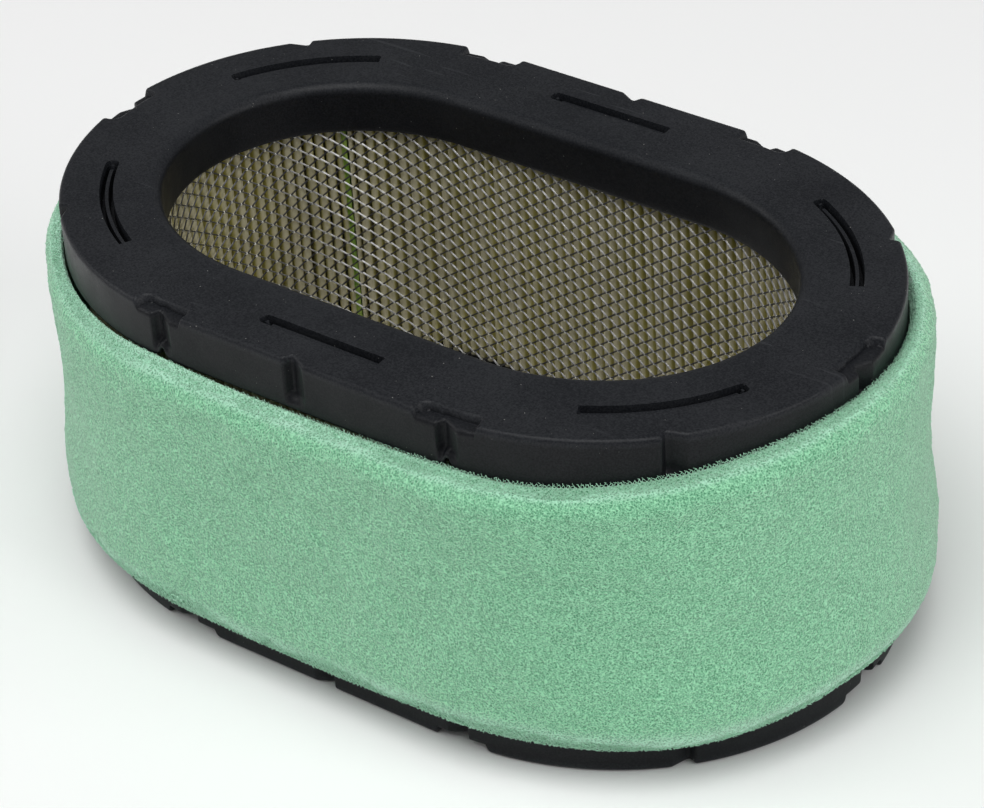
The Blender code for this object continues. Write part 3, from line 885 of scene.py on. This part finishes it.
def paper_loops(lengths, insets):
    """The strip's two sides as one closed loop of points at each level, swaying a little."""
    flat = rim_points(lengths, insets, np.zeros_like(insets))[:, :2]
    along = np.gradient(flat, axis=0)
    side = np.stack([-along[:, 1], along[:, 0]], 1)
    side /= np.linalg.norm(side, axis=1, keepdims=True)
    count = len(flat)
    sway = rng.normal(0.0, PAPER_SWAY, (PAPER_LEVELS, count // SWAY_RUN + 1))
    sway[[0, -1]] *= 0.3
    loops = []
    for level, row in zip(np.linspace(PACK_LOW, PACK_HIGH, PAPER_LEVELS), sway):
        slide = np.repeat(row, SWAY_RUN)[:count, None] * on_rim(lengths)[1][:, ::-1] * [[-1, 1]]
        for way in (1, -1):
            edge = (flat + slide + way * side * PAPER_THICKNESS / 2)[::way]
            loops.append(np.concatenate([edge, np.full((count, 1), level)], 1))
    return np.concatenate(loops)


def make_paper(finish):
    """The pleated pack: one strip of paper with thickness, standing between the caps."""
    lengths, insets = pleat_line()
    loop = 2 * len(lengths)
    one = np.arange(len(lengths) - 1)
    end = np.stack([one, loop - 1 - one, loop - 2 - one, one + 1], 1)
    last = (PAPER_LEVELS - 1) * loop
    faces = np.concatenate([tube_walls(PAPER_LEVELS, loop), end, end[:, ::-1] + last])
    paper = mesh_object("paper_pleats", paper_loops(lengths, insets), faces, finish, smooth_angle=50)
    depth = np.clip((PLEAT_INNER - insets) / (PLEAT_INNER - PLEAT_OUTER), 0, 1)
    mark_points(paper, "fold_depth", np.tile(np.concatenate([depth, depth[::-1]]), PAPER_LEVELS))
    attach(paper, "element")
    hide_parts("pleated_paper")


def make_seam(finish):
    """The strip's two ends, glued together into one stiff rib with an uneven edge."""
    middle = float(inset_path(PLEAT_INNER)(np.array([SEAM_PLACE]))[0])
    levels = np.linspace(PACK_LOW, PACK_HIGH, SEAM_LEVELS)
    wave = SEAM_WAVE * np.sin(levels * 900.0) + rng.normal(0.0, SEAM_ROUGHNESS, SEAM_LEVELS)
    across, insets = np.array(SEAM_SECTION).T
    points = rim_points(middle + (across + wave[:, None]), insets, levels[:, None]).reshape(-1, 3)
    sides = len(SEAM_SECTION)
    last = (SEAM_LEVELS - 1) * sides
    ends = [tuple(range(sides))[::-1], tuple(range(last, last + sides))]
    mesh = bpy.data.meshes.new("seam_strip")
    mesh.from_pydata(points.tolist(), [], tube_walls(SEAM_LEVELS, sides).tolist() + ends)
    mesh.update()
    mesh.materials.append(finish)
    seam = linked("seam_strip", mesh)
    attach(seam, "element")
    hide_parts("pleat_seam")


# Expanded metal screen


def screen_grid():
    """The column and height of each bond. Every second level is half a cell further round."""
    count = int((PACK_HIGH - PACK_LOW) / SCREEN_RISE)
    column, level = np.meshgrid(np.arange(SCREEN_CELLS), np.arange(count), indexing="ij")
    low = PACK_LOW + (PACK_HIGH - PACK_LOW - count * SCREEN_RISE) / 2
    return column.ravel() + 0.5 * (level.ravel() % 2), level.ravel(), low


def screen_place(column, inset, heights):
    """Points of the screen at these columns, with the directions along the rim and out of it."""
    place, normal = on_rim(inset_path(SCREEN_INSET)(column / SCREEN_CELLS))
    flat = np.zeros(len(normal))
    tangent = np.stack([-normal[:, 1], normal[:, 0], flat], 1)
    out = np.stack([normal[:, 0], normal[:, 1], flat], 1)
    return np.concatenate([place - inset * normal, heights[:, None]], 1), tangent, out


def strand_corners(column, level, low):
    """The strands' three-cornered sections and how much painted light each corner gets, way by way and step
    by step.
    """
    slope = atan2(SCREEN_RISE, RIM_TOTAL / SCREEN_CELLS * STRAND_RUN)
    corners = []
    painted_strand_light = []
    for way in (1, -1):
        lean = radians(STRAND_LEANS[way])
        for along, up in STRAND_SHAPE:
            inset = SCREEN_INSET - STRAND_BOW * sin(pi * 2 * (along - 0.5))
            heights = low + (level + up) * SCREEN_RISE
            middle, tangent, out = screen_place(column + way * 0.5 * along, inset, heights)
            across = -way * sin(slope) * tangent + cos(slope) * np.array([0.0, 0.0, 1.0])
            wide = cos(lean) * across - sin(lean) * out
            thick = sin(lean) * across + cos(lean) * out
            width = STRAND_WIDTH * (STRAND_END_WIDTH if along in (0.0, 1.0) else 1.0)
            for a, b in ((-1, -1), (1, -1), (0, 1)):
                corners.append(middle + a * wide * width / 2 + b * thick * STRAND_THICKNESS / 2)
                painted_strand_light.append(STRAND_PAINTED_LIGHT[way] * (1.0 if a > 0 else STRAND_UNDERSIDE_SHADE))
    return np.array(corners), np.array(painted_strand_light)


def strand_faces():
    """The triangles of one strand."""
    last = (len(STRAND_SHAPE) - 1) * 3
    faces = []
    for step in range(0, last, 3):
        for k in range(3):
            n = (k + 1) % 3
            faces.append((step + k, step + n, step + 3 + n))
            faces.append((step + k, step + 3 + n, step + 3 + k))
    return faces + [(2, 1, 0), (last, last + 1, last + 2)]


def make_screen(finish):
    """Expanded metal: slit and stretched sheet, whose strands lean and meet in short bonds with painted
    highlights.
    """
    column, level, low = screen_grid()
    steps = len(STRAND_SHAPE)
    strands = len(column)
    corners, painted_strand_light = strand_corners(column, level, low)
    points = corners.reshape(2, steps, 3, strands, 3).transpose(0, 3, 1, 2, 4).reshape(-1, 3)
    painted_strand_light = np.broadcast_to(painted_strand_light.reshape(2, 1, steps, 3), (2, strands, steps, 3)).ravel()
    faces = repeated(strand_faces(), 2 * strands, steps * 3)
    faces[len(faces) // 2:] = faces[len(faces) // 2:, ::-1]
    middle, tangent, out = screen_place(column, SCREEN_INSET + BOND_INSET, low + level * SCREEN_RISE)
    upward = np.array([[0.0, 0.0, 1.0]])
    tips = [axis * size for axis, size in zip((tangent, out, upward), BOND_SIZE)]
    bonds = np.stack([middle + way * tip for tip in tips for way in (1, -1)], 1).reshape(-1, 3)
    faces = np.concatenate([faces, repeated(OCTAHEDRON, strands, 6) + len(points)])
    screen = mesh_object("screen_mesh", np.concatenate([points, bonds]), faces, finish, smooth_angle=80)
    # Painted light: the bonds get the full painted highlight.
    mark_points(screen, "painted_strand_light", np.concatenate([painted_strand_light, np.ones(len(bonds))]))
    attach(screen, "element")
    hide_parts("inner_screen")


# Foam sleeve


def blurred(values, passes):
    """Values on the sleeve's grid, averaged with their neighbours, around and along the section."""
    for _ in range(passes):
        for axis in (0, 1):
            values = (np.roll(values, 1, axis) + values + np.roll(values, -1, axis)) / 3
    return values / max(values.std(), 1e-9)


def top_height(lengths, outset):
    """Height of the sleeve's upper surface: from its inner edge to the crest, then down over the shoulder."""
    lip = around(FOAM_LIP, lengths)
    crest = around(FOAM_TOP, lengths)
    crest_outset = around(SHOULDER_OUTSET, lengths) - SHOULDER_WIDTH
    share = ease(CLEARANCE, crest_outset, outset)
    drop = SHOULDER_HEIGHT * quarter_round((outset - crest_outset) / SHOULDER_WIDTH)
    return lip + share * (crest - lip) - drop


def foot_height(lengths, outset):
    """Height of the sleeve's under surface, which turns up into the hem."""
    share = (outset - HEM_START) / (around(FOOT_OUTSET, lengths) - HEM_START)
    return around(FOAM_FOOT, lengths) + HEM_HEIGHT * quarter_round(share)


def foam_rows(lengths):
    """Outsets and heights of the sleeve's section at each column, from its inner foot up, over and down."""
    tables = (FOAM_LIP, FOAM_FOOT, SHOULDER_OUTSET, WAIST_OUTSET, FOOT_OUTSET)
    lip, foot, shoulder, waist, hem = [around(pairs, lengths) for pairs in tables]
    crest_outset = shoulder - SHOULDER_WIDTH
    rows = []
    for share in np.linspace(0.04, 0.98, INNER_ROWS):
        rows.append((np.full_like(lengths, CLEARANCE), foot + share * (lip - foot)))
    over = [CLEARANCE + share * (crest_outset - CLEARANCE) for share in np.linspace(0.0, 1.0, LIP_ROWS)]
    turns = np.radians(np.linspace(90, 0, SHOULDER_ROWS)[1:])
    over += [crest_outset + SHOULDER_WIDTH * cos(turn) for turn in turns]
    rows += [(outset, top_height(lengths, outset)) for outset in over]
    wall_top = top_height(lengths, shoulder)
    wall_foot = foot + HEM_HEIGHT
    for share in np.linspace(0.0, 1.0, OUTER_ROWS)[1:]:
        to_waist = ease(0.0, WAIST_SHARE, share)
        to_hem = ease(HIP_SHARE, 1.0, share)
        outset = shoulder + (waist - shoulder) * to_waist + (hem - waist) * to_hem
        rows.append((outset, wall_top + share * (wall_foot - wall_top)))
    for turn in np.radians(np.linspace(0, 90, HEM_ROWS)[1:]):
        outset = HEM_START + (hem - HEM_START) * cos(turn)
        rows.append((outset, foot_height(lengths, outset)))
    outsets, heights = zip(*rows)
    return np.stack(outsets, 1), np.stack(heights, 1)


def foam_points():
    """The sleeve's points, its outward normals and how freshly cut it looks, which also sets its painted
    light, columns by rows.
    """
    lengths = np.arange(FOAM_COLUMNS) * RIM_TOTAL / FOAM_COLUMNS
    outset, height = foam_rows(lengths)
    points = rim_points(lengths[:, None], -outset, height)
    normal = np.cross(*[np.roll(points, -1, axis) - np.roll(points, 1, axis) for axis in (0, 1)])
    normal /= np.maximum(np.linalg.norm(normal, axis=2, keepdims=True), 1e-12)
    if float((normal[:, OUTER_ROW, :2] * on_rim(lengths)[1]).sum()) < 0:
        normal = -normal
    free = ease(CLEARANCE + 0.0003, CLEARANCE + 0.0018, outset)
    grain = np.clip(rng.normal(size=outset.shape), -2.2, 2.2)
    lumps = blurred(rng.normal(size=outset.shape), 3)
    waves = blurred(rng.normal(size=outset.shape), 60)
    lift = free * (GRAIN_LIFT * grain + LUMP_LIFT * lumps + WAVE_LIFT * waves)
    below_top = top_height(np.broadcast_to(lengths[:, None], outset.shape), outset) - height
    cut_and_glow = (1 - ease(*CUT_GLOW_BELOW_TOP, below_top)) * (1 - ease(*CUT_GLOW_OUTSET, outset))
    above_foot = height - around(FOAM_FOOT, lengths)[:, None]
    cut_and_glow = np.maximum(cut_and_glow, CUT_GLOW_AT_FOOT * (1 - ease(*CUT_GLOW_ABOVE_FOOT, above_foot)))
    return points + normal * lift[..., None], normal, cut_and_glow


def make_foam(finish):
    """The sleeve itself. Its points and normals are given back for the fibres on it."""
    points, normal, cut_and_glow = foam_points()
    faces = loop_faces(*points.shape[:2])
    sleeve = mesh_object("foam_sleeve", points.reshape(-1, 3), faces, finish, smooth_angle=180)
    mark_points(sleeve, "cut_face_and_glow", cut_and_glow)
    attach(sleeve, "precleaner")
    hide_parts("foam_precleaner")
    return points, normal


def moved_joints(points, columns):
    """Lattice joints moved by shifts that depend on their place alone, so that struts still meet."""
    whole = np.round(points * 4).astype(np.int64)
    whole[:, 0] %= columns * 4
    code = np.bitwise_xor.reduce(whole * HASH_FACTORS, axis=1) % 100003
    shifts = [np.mod(np.sin(code * wave) * 43758.5453, 1.0) - 0.5 for wave in HASH_WAVES]
    return points + JOINT_SHIFT * np.stack(shifts, 1)


def strut_network(span, cell, keep):
    """Struts of an open-celled network that fills a box of length, width and height span.

    Four struts meet at each joint, as in such foam. keep(middles) says how likely each strut is to be there.
    """
    counts = [max(1, int(round(size / cell))) for size in span]
    grid = np.stack(np.meshgrid(*[np.arange(n) for n in counts], indexing="ij"), -1).reshape(-1, 1, 3)
    first = (grid + DIAMOND_CELL).reshape(-1, 3)
    starts = np.repeat(first, 4, 0)
    ends = starts + np.tile(DIAMOND_BONDS, (len(first), 1))
    starts, ends = [moved_joints(points, counts[0]) * cell for points in (starts, ends)]
    kept = rng.random(len(starts)) < keep((starts + ends) / 2)
    return starts[kept], ends[kept]


def make_fringe(name, finish, surface, outward, inner, width, rises, cell, radius):
    """A lacy border of free struts along an edge of the sleeve. outward is 1 above it and -1 below."""
    span = (RIM_TOTAL, width, FRINGE_SINK + max(rise for _, rise in rises) * MM)

    def keep(middles):
        rise = around(rises, middles[:, 0]) * (1.0 - FRINGE_TAPER * middles[:, 1] / width)
        return 1.0 - ease(*FRINGE_FADE, (middles[:, 2] - FRINGE_SINK) / rise)

    starts, ends = strut_network(span, cell, keep)
    placed = []
    for points in (starts, ends):
        outset = np.maximum(inner + points[:, 1], CLEARANCE)
        heights = surface(points[:, 0], outset) + outward * (points[:, 2] - FRINGE_SINK)
        placed.append(rim_points(points[:, 0], -outset, heights))
    second = starts[:, 0] > RIM_TOTAL / 2
    for part, chosen in (("right", ~second), ("left", second)):
        fringe = strut_mesh(f"{name}_{part}", finish, placed[0][chosen], placed[1][chosen], radius, radius)
        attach(fringe, "precleaner")


def make_surface_fibres(finish, points, normal):
    """Broken cell walls that stand a little proud of the sleeve's free faces."""
    columns, rows = points.shape[:2]
    one_each = (FIBRE_COUNT, 1)
    column = rng.integers(0, columns, FIBRE_COUNT)
    row = rng.integers(FIBRE_FIRST_ROW, rows - 1, FIBRE_COUNT)
    base = points[column, row]
    out = normal[column, row]
    across = np.cross(out, rng.normal(size=(FIBRE_COUNT, 3)))
    across /= np.linalg.norm(across, axis=1, keepdims=True)
    reach = rng.uniform(*FIBRE_REACH, one_each)
    peak = base + out * rng.uniform(*FIBRE_PEAK, one_each) + across * rng.normal(0, FIBRE_SWAY, one_each)
    sunk = base - out * FIBRE_SINK
    starts = np.concatenate([sunk - across * reach, sunk + across * reach])
    fibres = strut_mesh("foam_surface_fibres", finish, starts, np.concatenate([peak, peak]), *FIBRE_RADII)
    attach(fibres, "precleaner")


# Studio


def make_camera():
    """A long lens from the front right, 35 degrees up, rolled a little."""
    azimuth, elevation, roll = 0.666155, 0.617603, -0.0673503
    near = cos(elevation)
    back = Vector((sin(azimuth) * near, -cos(azimuth) * near, sin(elevation)))
    level = Vector((cos(azimuth), sin(azimuth), 0.0))
    upright = back.cross(level)
    right = cos(roll) * level + sin(roll) * upright
    up = -sin(roll) * level + cos(roll) * upright
    place = -0.000278 * right + 0.030067 * up + 0.806677 * back
    data = bpy.data.cameras.new("photo_camera")
    data.lens = 130.91
    data.sensor_width = 36.0
    data.clip_start = 0.05
    data.clip_end = 20.0
    camera = linked("photo_camera", data)
    camera.matrix_world = Matrix.Translation(place) @ Matrix((right, up, back)).transposed().to_4x4()
    bpy.context.scene.camera = camera


def make_floor(finish):
    corners = [(x * FLOOR_HALF, y * FLOOR_HALF, FLOOR_LEVEL) for x, y in ((-1, -1), (1, -1), (1, 1), (-1, 1))]
    floor = mesh_object("studio_floor", corners, [(0, 1, 2, 3)], finish)


def make_lights():
    """Square soft boxes aimed at the element, and a weak even sky."""
    for name, place, size, power in LIGHTS:
        data = bpy.data.lights.new(name, "AREA")
        data.shape = "SQUARE"
        data.size = size
        data.energy = power
        light = linked(name, data)
        light.location = place
        light.rotation_mode = "QUATERNION"
        light.rotation_quaternion = (Vector(LIGHT_TARGET) - Vector(place)).to_track_quat("-Z", "Y")
    world = bpy.data.worlds.new("studio")
    world.use_nodes = True
    sky = world.node_tree.nodes["Background"]
    sky.inputs["Color"].default_value = (1.0, 1.0, 1.0, 1.0)
    sky.inputs["Strength"].default_value = SKY_STRENGTH
    bpy.context.scene.world = world
    bpy.context.scene.view_settings.view_transform = "Standard"


def main():
    make_camera()
    make_caps(cap_material())
    make_paper(paper_material())
    make_seam(seam_material())
    make_screen(screen_material())
    foam = foam_material()
    struts = strut_material()
    points, normal = make_foam(foam)
    make_fringe("foam_top_fringe", struts, top_height, 1, **TOP_FRINGE)
    make_fringe("foam_foot_fringe", struts, foot_height, -1, **FOOT_FRINGE)
    make_surface_fibres(struts, points, normal)
    make_floor(floor_material())
    make_lights()


main()
